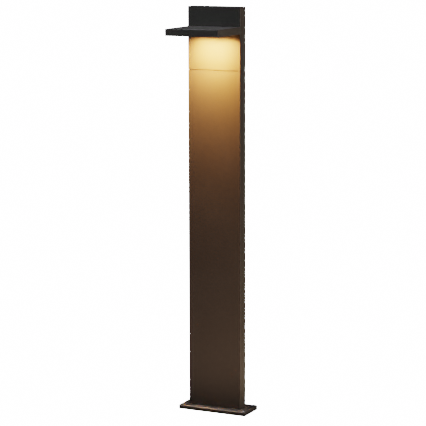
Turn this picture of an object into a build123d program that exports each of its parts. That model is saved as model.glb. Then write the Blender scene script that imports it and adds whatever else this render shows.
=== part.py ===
from build123d import *
from math import asin, cos, sin
import os

# Bollard light: a flat rectangular post on a flanged foot, with an L-shaped head whose slab
# washes the front face of the post with light. Millimetres, +Z up. The origin is the centre of
# the foot's underside; the lit face of the post looks along -Y.

os.makedirs("parts", exist_ok=True)

# Driving dimensions
TOTAL_H = 1000.0
POST_W, POST_D = 140.0, 32.0
POST_FRONT_Y = -20.0
WALL = 2.5
EDGE_R = 1.0
SEAM_Z = 845.5
SLAB_REACH, SLAB_T, SLAB_TOP_Z = 122.0, 17.5, 952.0
SLAB_WALL = 3.0
BASE_W, BASE_D, BASE_H = 182.0, 78.0, 11.0
SKIRT, SKIRT_PLAY = 3.0, 0.5
POCKET_H = 7.0
GROUND_T = 3.0

# The post's own planes
POST_BACK_Y = POST_FRONT_Y + POST_D
POST_MID_Y = POST_FRONT_Y + POST_D / 2
INNER_FRONT_Y = POST_FRONT_Y + WALL
INNER_BACK_Y = POST_BACK_Y - WALL

# Foot
BASE_CORNER_R, BASE_EDGE_R = 3.5, 3.0
GROUND_CORNER_R, POCKET_CORNER_R = 2.5, 2.0
CORNER_X, CORNER_Y = 168.0, 64.0
CORNER_BOSS_R = 4.6
ANCHOR_X, ANCHOR_Y, ANCHOR_R, ANCHOR_SINK_R = 130.0, 44.0, 3.5, 5.6
DUCT_HOLE_R = 20.0
FOOT_SEAL_T, FOOT_SEAL_HOLE_W, FOOT_SEAL_HOLE_D = 1.0, 100.0, 24.0
SEAL_INSET = 0.8
COLUMN_Z = BASE_H + FOOT_SEAL_T
PORT_X, PORT_Y = 123.0, 20.0
PORT_R = 4.5

# Screws: shank radii, and head proportions that go with them
M5_R, M4_R, M3_R, M2_5_R = 2.4, 1.9, 1.4, 1.2
SUNK_HEAD, DOME_HEAD, DOME_RISE, SOCKET = 1.92, 1.95, 1.13, 0.6
THREAD_PLAY, HOLE_PLAY, SINK_PLAY = 0.05, 0.35, 0.2
FLANGE_SCREW_L, COLUMN_SCREW_L, CARRIER_SCREW_L, COUPLER_SCREW_L = 10.5, 25.0, 5.0, 8.0
TENON_SCREW_L, BOARD_SCREW_L, BEZEL_SCREW_L, BRACKET_SCREW_L, DRIVER_SCREW_L = 16.0, 4.0, 10.0, 4.0, 6.0

# Cable gland, M16
GLAND_R, GLAND_BORE_R, GLAND_FLAT_R = 8.0, 5.5, 10.0
GLAND_FLANGE_H, GLAND_TOP_Z = 6.0, 26.0
GLAND_END_Z = GROUND_T + 0.4
CABLE_R = 5.0
SEAL_LOW_Z, SEAL_HIGH_Z = 20.0, 30.0
NUT_LOW_Z, NUT_SHOULDER_Z, NUT_TOP_Z, NUT_TOP_R = 17.5, 25.5, 33.0, 2.5
LOCKNUT_LOW_Z = 3.5

# Terminal block and its carrier
SHEET_T = 1.5
CARRIER_FACE_Y, CARRIER_TOE_Y = 5.5, -14.0
CARRIER_HALF_W, CARRIER_FAR_X = 15.0, 46.0
CARRIER_LOW_Z, CARRIER_TOP_Z = 40.0, 112.0
BLOCK_PEGS, PEG_R = [(-10, 91), (10, 91)], 1.5
POLE_PITCH = 8.0
POLES = {"live": -POLE_PITCH, "neutral": 0.0, "earth": POLE_PITCH}
BLOCK_W, BLOCK_LOW_Z, BLOCK_HIGH_Z, BLOCK_FRONT_Y = 26.0, 78.0, 104.0, -4.0
PIVOT_Y, PIVOT_Z = -6.2, 84.0
PIVOT_R, PIVOT_CLEARANCE = 1.0, 0.05
RIB_T, RIB_FRONT_Y, RIB_LOW_Z, RIB_HIGH_Z = 1.4, -8.2, 80.0, 89.0
LEVER_W, LEVER_T, LEVER_REACH, LEVER_HUB_R = 6.0, 2.2, 8.5, 1.9
LEVER_TIP_R, PIN_REACH = 0.6, 0.7
CHAMBER_W, CHAMBER_D, CHAMBER_LOW_Z, CHAMBER_HIGH_Z = 5.6, 5.0, 84.0, 100.0
WIRE_ENTRY_R, CORE_ENTRY_R = 2.1, 1.6
CONTACT_W, CONTACT_T, CONTACT_Y = 4.6, 1.0, 2.7
CONTACT_LOW_Z, CONTACT_HIGH_Z = 85.0, 99.0
CORE_Y = 1.0

# Head
SEAM_SEAL_T, SEAM_INSET, SEAM_SEAL_LAP = 1.6, 1.3, 0.2
HEAD_Z = SEAM_Z + SEAM_SEAL_T
SLAB_FRONT_Y = POST_FRONT_Y - SLAB_REACH
SLAB_LOW_Z = SLAB_TOP_Z - SLAB_T
SLAB_ROOF_Z = SLAB_TOP_Z - SLAB_WALL
SLAB_MID_Y = (SLAB_FRONT_Y + POST_FRONT_Y) / 2
TENON_X, TENON_W, TENON_H = 43.0, 30.0, 12.0
TENON_MID_Z = (SLAB_LOW_Z + SLAB_TOP_Z) / 2
TENON_PLAY = 0.2
COUPLER_W, COUPLER_PLAY, COUPLER_WALL, COUPLER_HALF_H = 110.0, 0.3, 3.0, 35.0
COUPLER_SCREW_XS, COUPLER_SCREW_DZ, COUPLER_CORNER_R = (-40.0, 40.0), 20.0, 1.5

# Light unit in the slab
WINDOW_W, WINDOW_D, WINDOW_CORNER_R = 100.0, 60.0, 3.0
BEZEL_T, BEZEL_PLAY = 2.0, 0.3
GASKET_T, DIFFUSER_T = 1.0, 3.0
PANE_LAP, FRAME_T, PANE_CORNER_R = 6.0, 2.0, 2.0
PAD_T, BOARD_T, BOARD_CORNER_R = 0.5, 1.6, 2.0
BOARD_W, BOARD_FRONT_Y, BOARD_BACK_Y = 104.0, -121.5, -33.5
BOARD_SCREW_X, BOARD_SCREW_Y = 96.0, 72.0
CONNECTOR_FRONT_Y, CONNECTOR_BACK_Y = -46.5, -38.0
CONNECTOR_W, CONNECTOR_H = 9.0, 4.6
CHIP_PITCH, CHIP_W, CHIP_D, CHIP_H = 15.0, 2.8, 3.5, 0.8
BOARD_LOW_Z = SLAB_ROOF_Z - PAD_T - BOARD_T
DIFFUSER_Z = SLAB_LOW_Z + BEZEL_T + GASKET_T
BOSS_X, BOSS_PITCH_Y, BOSS_R = 127.0, 54.5, 4.0

# Driver
DRIVER_W, DRIVER_D, DRIVER_LOW_Z, DRIVER_HIGH_Z = 56.0, 17.0, 690.0, 790.0
BRACKET_Y = INNER_FRONT_Y + COUPLER_PLAY + COUPLER_WALL
BRACKET_W, BRACKET_LOW_Z, BRACKET_HIGH_Z = 60.0, 682.0, 868.0
BRACKET_SCREW_X, BRACKET_CORNER_R = 40.0, 4.0
DRIVER_FRONT_Y = BRACKET_Y + SHEET_T
DRIVER_MID_Y = DRIVER_FRONT_Y + DRIVER_D / 2

# Leads
MAINS_R, CORE_R, LED_LEAD_R = 3.25, 1.25, 2.0
SHEATH_END_Z = 130.0
MAINS_BEND_R = 150.0
CLIP_X, CLIP_Y = 12.0, 4.0
CLIP_HEIGHTS, CLIP_W, CLIP_H, CLIP_MOUTH_W = (290.0, 400.0, 510.0), 12.0, 8.0, 4.0
CORE_SPOTS = ((-1.3, 0.75), (0, -1.5), (1.3, 0.75))
CORE_STRAIGHT, CORE_SPREAD, CORE_GRIP, CORE_BEND_R = 5.0, 18.0, 3.5, 6.0
LED_LEAD_Z = BOARD_LOW_Z - LED_LEAD_R - 0.2
LED_LEAD_BEND_R = 18.0
LEAD_PASS_R = 4.0


def post_level(z):
    """A horizontal plane at height z, centred on the post."""
    return Plane(origin=(0, POST_MID_Y, z))


def slab_level(z):
    """A horizontal plane at height z, centred on the slab and on its light window."""
    return Plane(origin=(0, SLAB_MID_Y, z))


def back_spot(x, z):
    """A plane on the post's back face, its Z pointing out of the back."""
    return Plane(origin=(x, POST_BACK_Y, z), x_dir=(1, 0, 0), z_dir=(0, 1, 0))


def up_spot(x, y, z):
    return Plane(origin=(x, y, z))


def down_spot(x, y, z):
    return Plane(origin=(x, y, z), x_dir=(1, 0, 0), z_dir=(0, 0, -1))


def lengthwise(spot):
    """The plane through a screw's axis: its X goes outwards and its Y out of the head."""
    return Plane(origin=spot.origin, x_dir=spot.x_dir, z_dir=spot.y_dir * -1)


def sunk_hole(shank_r, depth):
    """A clearance hole with a 90 degree sink for a flat-headed screw."""
    CounterSinkHole(shank_r + HOLE_PLAY, shank_r * SUNK_HEAD + SINK_PLAY, depth=depth, counter_sink_angle=90)


def sunk_screws(spots, shank_r, length):
    """Socket screws whose flat heads lie flush in each spot."""
    head_r = shank_r * SUNK_HEAD
    with BuildPart() as screws:
        for spot in spots:
            with BuildSketch(lengthwise(spot)):
                Polygon(
                    (0, 0), (head_r, 0), (shank_r, shank_r - head_r), (shank_r, -length), (0, -length),
                    align=None,
                )
            revolve(axis=Axis(spot.origin, spot.z_dir))
            with BuildSketch(spot):
                RegularPolygon(shank_r * SOCKET, 6)
            extrude(amount=-shank_r, mode=Mode.SUBTRACT)
    return screws


def domed_screws(spots, shank_r, length):
    """Socket screws whose domed heads stand on each spot."""
    head_r, head_h = shank_r * DOME_HEAD, shank_r * DOME_RISE
    rim_h = head_h * 0.35
    dome_h = head_h - rim_h
    dome_r = (head_r**2 + dome_h**2) / (2 * dome_h)
    half_turn = asin(head_r / dome_r) / 2
    dome_middle = (dome_r * sin(half_turn), head_h - dome_r * (1 - cos(half_turn)))
    with BuildPart() as screws:
        for spot in spots:
            with BuildSketch(lengthwise(spot)):
                with BuildLine():
                    Polyline(
                        (0, head_h), (0, -length), (shank_r, -length), (shank_r, 0), (head_r, 0),
                        (head_r, rim_h),
                    )
                    ThreePointArc((head_r, rim_h), dome_middle, (0, head_h))
                make_face()
            revolve(axis=Axis(spot.origin, spot.z_dir))
            with BuildSketch(spot.offset(head_h)):
                RegularPolygon(shank_r * SOCKET, 6)
            extrude(amount=-head_h * 0.7, mode=Mode.SUBTRACT)
    return screws


# ---------------------------------------------------------------- foot

# Steel plate that is anchored to the ground first; the post is then screwed onto it.
GROUND_W = BASE_W - 2 * SKIRT - 2 * SKIRT_PLAY
GROUND_D = BASE_D - 2 * SKIRT - 2 * SKIRT_PLAY
with BuildPart() as ground_plate:
    with BuildSketch():
        RectangleRounded(GROUND_W, GROUND_D, GROUND_CORNER_R)
        with Locations((0, POST_MID_Y)):
            Circle(DUCT_HOLE_R, mode=Mode.SUBTRACT)
        with GridLocations(CORNER_X, CORNER_Y, 2, 2):
            Circle(M4_R + THREAD_PLAY, mode=Mode.SUBTRACT)
    extrude(amount=GROUND_T)
    with Locations((0, 0, GROUND_T)):
        with GridLocations(ANCHOR_X, ANCHOR_Y, 2, 2):
            CounterSinkHole(ANCHOR_R, ANCHOR_SINK_R, counter_sink_angle=90)
ground_plate.part.label = "ground_plate"
export_step(ground_plate.part, "parts/ground_plate.step")

# Cast flange with a rounded top edge. Its skirt hides the ground plate.
COLUMN_SCREW_SPOTS = [
    down_spot(x, POST_MID_Y + y, POCKET_H)
    for x in (-PORT_X / 2, PORT_X / 2)
    for y in (-PORT_Y / 2, PORT_Y / 2)
]
CARRIER_SCREW_XY = [(24.0, -7.0), (40.0, -7.0)]
with BuildPart() as base_flange:
    with BuildSketch():
        RectangleRounded(BASE_W, BASE_D, BASE_CORNER_R)
    extrude(amount=BASE_H)
    fillet(base_flange.faces().sort_by(Axis.Z)[-1].edges(), BASE_EDGE_R)
    with BuildSketch():
        RectangleRounded(BASE_W - 2 * SKIRT, BASE_D - 2 * SKIRT, POCKET_CORNER_R)
    extrude(amount=POCKET_H, mode=Mode.SUBTRACT)
    with BuildSketch(Plane.XY.offset(GROUND_T)):
        with GridLocations(CORNER_X, CORNER_Y, 2, 2):
            Circle(CORNER_BOSS_R)
    extrude(amount=POCKET_H - GROUND_T)
    with BuildSketch(Plane.XY.offset(BASE_H)):
        with GridLocations(CORNER_X, CORNER_Y, 2, 2):
            Circle(M4_R + HOLE_PLAY)
        with Locations((0, POST_MID_Y)):
            Circle(GLAND_R + 2 * THREAD_PLAY)
        with Locations(*CARRIER_SCREW_XY):
            Circle(M4_R + THREAD_PLAY)
    extrude(amount=-BASE_H, mode=Mode.SUBTRACT)
    with Locations(*COLUMN_SCREW_SPOTS):
        sunk_hole(M5_R, BASE_H)
base_flange.part.label = "base_flange"
export_step(base_flange.part, "parts/base_flange.step")

# Stainless corner screws that hold the flange down on the ground plate.
flange_screws = domed_screws(
    [
        up_spot(x, y, BASE_H)
        for x in (-CORNER_X / 2, CORNER_X / 2)
        for y in (-CORNER_Y / 2, CORNER_Y / 2)
    ],
    M4_R, FLANGE_SCREW_L,
)
flange_screws.part.label = "flange_screws"
export_step(flange_screws.part, "parts/flange_screws.step")

# Screws from below, through the flange into the ports of the column.
column_screws = sunk_screws(COLUMN_SCREW_SPOTS, M5_R, COLUMN_SCREW_L)
column_screws.part.label = "column_screws"
export_step(column_screws.part, "parts/column_screws.step")

# Rubber gasket under the end of the column.
with BuildPart() as foot_gasket:
    with BuildSketch(post_level(BASE_H)):
        RectangleRounded(POST_W - 2 * SEAL_INSET, POST_D - 2 * SEAL_INSET, EDGE_R)
        Rectangle(FOOT_SEAL_HOLE_W, FOOT_SEAL_HOLE_D, mode=Mode.SUBTRACT)
        with GridLocations(PORT_X, PORT_Y, 2, 2):
            Circle(M5_R + HOLE_PLAY, mode=Mode.SUBTRACT)
    extrude(amount=FOOT_SEAL_T)
foot_gasket.part.label = "foot_gasket"
export_step(foot_gasket.part, "parts/foot_gasket.step")

# ---------------------------------------------------------------- cable gland

with BuildPart() as cable_gland:
    with BuildSketch(post_level(GLAND_END_Z)):
        Circle(GLAND_R)
    extrude(amount=GLAND_TOP_Z - GLAND_END_Z)
    with BuildSketch(post_level(BASE_H)):
        RegularPolygon(GLAND_FLAT_R, 6, major_radius=False)
    extrude(amount=GLAND_FLANGE_H)
    chamfer(cable_gland.edges().filter_by(GeomType.CIRCLE).sort_by(Axis.Z)[-1], 0.6)
    with BuildSketch(post_level(GLAND_END_Z)):
        Circle(GLAND_BORE_R)
    extrude(amount=GLAND_TOP_Z - GLAND_END_Z, mode=Mode.SUBTRACT)
cable_gland.part.label = "cable_gland"
export_step(cable_gland.part, "parts/cable_gland.step")

with BuildPart() as gland_locknut:
    with BuildSketch(post_level(LOCKNUT_LOW_Z)):
        RegularPolygon(GLAND_FLAT_R, 6, major_radius=False)
        Circle(GLAND_R + THREAD_PLAY, mode=Mode.SUBTRACT)
    extrude(amount=POCKET_H - LOCKNUT_LOW_Z)
gland_locknut.part.label = "gland_locknut"
export_step(gland_locknut.part, "parts/gland_locknut.step")

with BuildPart() as gland_seal:
    with BuildSketch(post_level(SEAL_LOW_Z)):
        Circle(GLAND_BORE_R - 0.05)
    extrude(amount=SEAL_HIGH_Z - SEAL_LOW_Z)
    with BuildSketch(post_level(GLAND_TOP_Z)):
        Circle(GLAND_R - 0.2)
    extrude(amount=SEAL_HIGH_Z - GLAND_TOP_Z)
    with BuildSketch(post_level(SEAL_LOW_Z)):
        Circle(CABLE_R)
    extrude(amount=SEAL_HIGH_Z - SEAL_LOW_Z, mode=Mode.SUBTRACT)
gland_seal.part.label = "gland_seal"
export_step(gland_seal.part, "parts/gland_seal.step")

with BuildPart() as gland_dome_nut:
    with BuildSketch(post_level(NUT_LOW_Z)):
        RegularPolygon(GLAND_FLAT_R, 6, major_radius=False)
    extrude(amount=NUT_SHOULDER_Z - NUT_LOW_Z)
    with BuildSketch(post_level(NUT_SHOULDER_Z)):
        Circle(GLAND_FLAT_R - 0.2)
    extrude(amount=NUT_TOP_Z - NUT_SHOULDER_Z)
    fillet(gland_dome_nut.faces().sort_by(Axis.Z)[-1].edges(), NUT_TOP_R)
    with BuildSketch(post_level(NUT_LOW_Z)):
        Circle(GLAND_R + THREAD_PLAY)
    extrude(amount=SEAL_HIGH_Z - NUT_LOW_Z, mode=Mode.SUBTRACT)
    with BuildSketch(post_level(SEAL_HIGH_Z)):
        Circle(CABLE_R + 1)
    extrude(amount=NUT_TOP_Z - SEAL_HIGH_Z, mode=Mode.SUBTRACT)
gland_dome_nut.part.label = "gland_dome_nut"
export_step(gland_dome_nut.part, "parts/gland_dome_nut.step")

# ---------------------------------------------------------------- column

# Extruded aluminium column: a thin-walled box with four screw ports along its corners.
with BuildPart() as column_profile:
    with BuildSketch(post_level(COLUMN_Z)):
        RectangleRounded(POST_W, POST_D, EDGE_R)
        Rectangle(POST_W - 2 * WALL, POST_D - 2 * WALL, mode=Mode.SUBTRACT)
        with GridLocations(PORT_X, PORT_Y, 2, 2):
            Circle(PORT_R)
        with GridLocations(PORT_X, PORT_Y, 2, 2):
            Circle(M5_R + THREAD_PLAY, mode=Mode.SUBTRACT)
    extrude(amount=SEAM_Z - COLUMN_Z)
    with Locations(*[back_spot(x, SEAM_Z - COUPLER_SCREW_DZ) for x in COUPLER_SCREW_XS]):
        sunk_hole(M4_R, WALL + 1)
column_profile.part.label = "column_profile"
export_step(column_profile.part, "parts/column_profile.step")

# ---------------------------------------------------------------- terminal block

# Bent sheet that stands on the flange inside the column and carries the terminal block.
with BuildPart() as terminal_carrier:
    with BuildSketch(Plane(origin=(0, CARRIER_FACE_Y, 0), x_dir=(1, 0, 0), z_dir=(0, -1, 0))):
        Polygon(
            (CARRIER_HALF_W, BASE_H), (CARRIER_FAR_X, BASE_H), (CARRIER_FAR_X, CARRIER_TOP_Z),
            (-CARRIER_HALF_W, CARRIER_TOP_Z), (-CARRIER_HALF_W, CARRIER_LOW_Z),
            (CARRIER_HALF_W, CARRIER_LOW_Z),
            align=None,
        )
        with Locations(*BLOCK_PEGS):
            Circle(PEG_R + THREAD_PLAY, mode=Mode.SUBTRACT)
    extrude(amount=-SHEET_T)
    with BuildSketch(Plane.XY.offset(BASE_H)):
        with Locations(((CARRIER_HALF_W + CARRIER_FAR_X) / 2, (CARRIER_FACE_Y + CARRIER_TOE_Y) / 2)):
            Rectangle(CARRIER_FAR_X - CARRIER_HALF_W, CARRIER_FACE_Y - CARRIER_TOE_Y)
        with Locations(*CARRIER_SCREW_XY):
            Circle(M4_R + HOLE_PLAY, mode=Mode.SUBTRACT)
    extrude(amount=SHEET_T)
terminal_carrier.part.label = "terminal_carrier"
export_step(terminal_carrier.part, "parts/terminal_carrier.step")

carrier_screws = domed_screws(
    [up_spot(x, y, BASE_H + SHEET_T) for x, y in CARRIER_SCREW_XY],
    M4_R, CARRIER_SCREW_L,
)
carrier_screws.part.label = "carrier_screws"
export_step(carrier_screws.part, "parts/carrier_screws.step")

# Three-pole lever terminal. The supply's wires enter from below and the post's own lead from above.
BLOCK_MID_Y = (BLOCK_FRONT_Y + CARRIER_FACE_Y) / 2
with BuildPart() as terminal_housing:
    with BuildSketch(Plane.XY.offset(BLOCK_LOW_Z)):
        with Locations((0, BLOCK_MID_Y)):
            Rectangle(BLOCK_W, CARRIER_FACE_Y - BLOCK_FRONT_Y)
    extrude(amount=BLOCK_HIGH_Z - BLOCK_LOW_Z)
    fillet(terminal_housing.edges().filter_by(Axis.Z), 0.8)
    with BuildSketch(Plane.XY.offset(RIB_LOW_Z)):
        with Locations((0, (RIB_FRONT_Y + BLOCK_MID_Y) / 2)):
            with GridLocations(POLE_PITCH, 0, 4, 1):
                Rectangle(RIB_T, BLOCK_MID_Y - RIB_FRONT_Y)
    extrude(amount=RIB_HIGH_Z - RIB_LOW_Z)
    with BuildSketch(Plane.YZ.offset(-BLOCK_W / 2)):
        with Locations((PIVOT_Y, PIVOT_Z)):
            Circle(PIVOT_R + PIVOT_CLEARANCE)
    extrude(amount=BLOCK_W, mode=Mode.SUBTRACT)
    with BuildSketch(Plane.XY.offset(CHAMBER_LOW_Z)):
        with Locations((0, CORE_Y)):
            with GridLocations(POLE_PITCH, 0, 3, 1):
                Rectangle(CHAMBER_W, CHAMBER_D)
    extrude(amount=CHAMBER_HIGH_Z - CHAMBER_LOW_Z, mode=Mode.SUBTRACT)
    with BuildSketch(Plane.XY.offset(BLOCK_LOW_Z)):
        with Locations((0, CORE_Y)):
            with GridLocations(POLE_PITCH, 0, 3, 1):
                Circle(WIRE_ENTRY_R)
    extrude(amount=CHAMBER_LOW_Z - BLOCK_LOW_Z, mode=Mode.SUBTRACT)
    with BuildSketch(Plane.XY.offset(BLOCK_HIGH_Z)):
        with Locations((0, CORE_Y)):
            with GridLocations(POLE_PITCH, 0, 3, 1):
                Circle(CORE_ENTRY_R)
    extrude(amount=CHAMBER_HIGH_Z - BLOCK_HIGH_Z, mode=Mode.SUBTRACT)
    with BuildSketch(Plane.XZ.offset(-CARRIER_FACE_Y)):
        with Locations(*BLOCK_PEGS):
            Circle(PEG_R)
    extrude(amount=-SHEET_T - 0.5)
terminal_housing.part.label = "terminal_housing"
export_step(terminal_housing.part, "parts/terminal_housing.step")

# Brass strips that join the two sides of each pole.
with BuildPart() as terminal_contacts:
    with BuildSketch(Plane.XY.offset(CONTACT_LOW_Z)):
        with Locations((0, CONTACT_Y)):
            with GridLocations(POLE_PITCH, 0, 3, 1):
                Rectangle(CONTACT_W, CONTACT_T)
    extrude(amount=CONTACT_HIGH_Z - CONTACT_LOW_Z)
terminal_contacts.part.label = "terminal_contacts"
export_step(terminal_contacts.part, "parts/terminal_contacts.step")


def terminal_lever(x):
    """A lever with its own pivot pin, closed: it stands along the front of the block."""
    with BuildPart() as lever:
        with BuildSketch(Plane.YZ.offset(x - LEVER_W / 2)):
            with Locations((PIVOT_Y, PIVOT_Z)):
                Circle(LEVER_HUB_R)
            with Locations((PIVOT_Y, PIVOT_Z + LEVER_REACH / 2)):
                Rectangle(LEVER_T, LEVER_REACH)
        extrude(amount=LEVER_W)
        fillet(lever.edges().filter_by(Axis.X).sort_by(Axis.Z)[-2:], LEVER_TIP_R)
        with BuildSketch(Plane.YZ.offset(x - LEVER_W / 2 - PIN_REACH)):
            with Locations((PIVOT_Y, PIVOT_Z)):
                Circle(PIVOT_R)
        extrude(amount=LEVER_W + 2 * PIN_REACH)
    return lever


for pole, pole_x in POLES.items():
    pole_lever = terminal_lever(pole_x)
    pole_lever.part.label = "terminal_lever_" + pole
    export_step(pole_lever.part, "parts/terminal_lever_" + pole + ".step")

# ---------------------------------------------------------------- leads

# Sheathed lead from the terminal block up the column to the driver.
mains_route = [
    (0, CORE_Y, SHEATH_END_Z), (0, CORE_Y, 170), (CLIP_X, CLIP_Y, 230),
    (CLIP_X, CLIP_Y, 560), (0, DRIVER_MID_Y, 630), (0, DRIVER_MID_Y, DRIVER_LOW_Z),
]
with BuildPart() as mains_lead:
    with BuildLine() as mains_line:
        FilletPolyline(*mains_route, radius=MAINS_BEND_R)
    with BuildSketch(Plane.XY.offset(SHEATH_END_Z)):
        with Locations((0, CORE_Y)):
            Circle(MAINS_R)
    sweep(path=mains_line.line)
mains_lead.part.label = "mains_lead"
export_step(mains_lead.part, "parts/mains_lead.step")

# Its three cores, from the end of the sheath into the top of the terminal block.
with BuildPart() as lead_cores:
    for pole_x, (core_x, core_y) in zip(POLES.values(), CORE_SPOTS):
        with BuildLine() as core_line:
            FilletPolyline(
                (core_x, CORE_Y + core_y, SHEATH_END_Z),
                (core_x, CORE_Y + core_y, SHEATH_END_Z - CORE_STRAIGHT),
                (pole_x, CORE_Y, SHEATH_END_Z - CORE_SPREAD),
                (pole_x, CORE_Y, BLOCK_HIGH_Z - CORE_GRIP),
                radius=CORE_BEND_R,
            )
        with BuildSketch(down_spot(core_x, CORE_Y + core_y, SHEATH_END_Z)):
            Circle(CORE_R)
        sweep(path=core_line.line)
lead_cores.part.label = "lead_cores"
export_step(lead_cores.part, "parts/lead_cores.step")

# Saddles stuck to the back wall, open to the front.
with BuildPart() as lead_clips:
    for clip_z in CLIP_HEIGHTS:
        with BuildSketch(Plane.XY.offset(clip_z)):
            with Locations((CLIP_X, (INNER_BACK_Y - 0.5) / 2)):
                Rectangle(CLIP_W, INNER_BACK_Y + 0.5)
            with Locations((CLIP_X, CLIP_Y)):
                Circle(MAINS_R + 0.05, mode=Mode.SUBTRACT)
            with Locations((CLIP_X, CLIP_Y - CLIP_MOUTH_W)):
                Rectangle(CLIP_MOUTH_W, 2 * CLIP_MOUTH_W, mode=Mode.SUBTRACT)
        extrude(amount=CLIP_H)
lead_clips.part.label = "lead_clips"
export_step(lead_clips.part, "parts/lead_clips.step")

# Low-voltage lead from the driver up through the head and forward into the slab.
with BuildPart() as led_lead:
    with BuildLine() as led_line:
        FilletPolyline(
            (0, DRIVER_MID_Y, DRIVER_HIGH_Z),
            (0, DRIVER_MID_Y, LED_LEAD_Z),
            (0, CONNECTOR_BACK_Y, LED_LEAD_Z),
            radius=LED_LEAD_BEND_R,
        )
    with BuildSketch(Plane.XY.offset(DRIVER_HIGH_Z)):
        with Locations((0, DRIVER_MID_Y)):
            Circle(LED_LEAD_R)
    sweep(path=led_line.line)
led_lead.part.label = "led_lead"
export_step(led_lead.part, "parts/led_lead.step")

# ---------------------------------------------------------------- joint of column and head

with BuildPart() as seam_gasket:
    with BuildSketch(post_level(SEAM_Z)):
        Rectangle(POST_W - 2 * SEAM_INSET, POST_D - 2 * SEAM_INSET)
        Rectangle(
            POST_W - 2 * (WALL - SEAM_SEAL_LAP), POST_D - 2 * (WALL - SEAM_SEAL_LAP), mode=Mode.SUBTRACT,
        )
    extrude(amount=SEAM_SEAL_T)
seam_gasket.part.label = "seam_gasket"
export_step(seam_gasket.part, "parts/seam_gasket.step")

# Short box sleeve inside both the column and the head.
COUPLER_SCREW_SPOTS = [
    back_spot(x, SEAM_Z + dz)
    for x in COUPLER_SCREW_XS
    for dz in (-COUPLER_SCREW_DZ, COUPLER_SCREW_DZ)
]
COUPLER_D = POST_D - 2 * WALL - 2 * COUPLER_PLAY
with BuildPart() as coupler:
    with BuildSketch(post_level(SEAM_Z - COUPLER_HALF_H)):
        RectangleRounded(COUPLER_W, COUPLER_D, COUPLER_CORNER_R)
        Rectangle(COUPLER_W - 2 * COUPLER_WALL, COUPLER_D - 2 * COUPLER_WALL, mode=Mode.SUBTRACT)
    extrude(amount=2 * COUPLER_HALF_H)
    with Locations(*COUPLER_SCREW_SPOTS):
        Hole(M4_R + THREAD_PLAY, depth=COUPLER_SCREW_L)
    with Locations(Plane(origin=(0, BRACKET_Y, SEAM_Z), x_dir=(1, 0, 0), z_dir=(0, 1, 0))):
        with GridLocations(BRACKET_SCREW_X, 0, 2, 1):
            Hole(M3_R + THREAD_PLAY, depth=COUPLER_WALL + 1)
coupler.part.label = "coupler"
export_step(coupler.part, "parts/coupler.step")

coupler_screws = sunk_screws(COUPLER_SCREW_SPOTS, M4_R, COUPLER_SCREW_L)
coupler_screws.part.label = "coupler_screws"
export_step(coupler_screws.part, "parts/coupler_screws.step")

# ---------------------------------------------------------------- head

TENON_SPOTS = [back_spot(x, TENON_MID_Z) for x in (-TENON_X, TENON_X)]
front_wall = Plane(origin=(0, POST_FRONT_Y, TENON_MID_Z), x_dir=(1, 0, 0), z_dir=(0, -1, 0))

# Cast upper part of the post, closed at the top, with two windows for the slab's tenons.
with BuildPart() as head_housing:
    with BuildSketch(post_level(HEAD_Z)):
        RectangleRounded(POST_W, POST_D, EDGE_R)
    extrude(amount=TOTAL_H - HEAD_Z)
    fillet(head_housing.faces().sort_by(Axis.Z)[-1].edges(), EDGE_R * 0.8)
    with BuildSketch(post_level(HEAD_Z)):
        Rectangle(POST_W - 2 * WALL, POST_D - 2 * WALL)
    extrude(amount=TOTAL_H - WALL - HEAD_Z, mode=Mode.SUBTRACT)
    with BuildSketch(front_wall):
        with GridLocations(2 * TENON_X, 0, 2, 1):
            Rectangle(TENON_W + 2 * TENON_PLAY, TENON_H + 2 * TENON_PLAY)
        with Locations((0, LED_LEAD_Z - TENON_MID_Z)):
            Circle(LEAD_PASS_R)
    extrude(amount=-WALL, mode=Mode.SUBTRACT)
    with Locations(*[back_spot(x, SEAM_Z + COUPLER_SCREW_DZ) for x in COUPLER_SCREW_XS]):
        sunk_hole(M4_R, WALL + 1)
    with Locations(*TENON_SPOTS):
        sunk_hole(M5_R, WALL + 1)
head_housing.part.label = "head_housing"
export_step(head_housing.part, "parts/head_housing.step")

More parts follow.
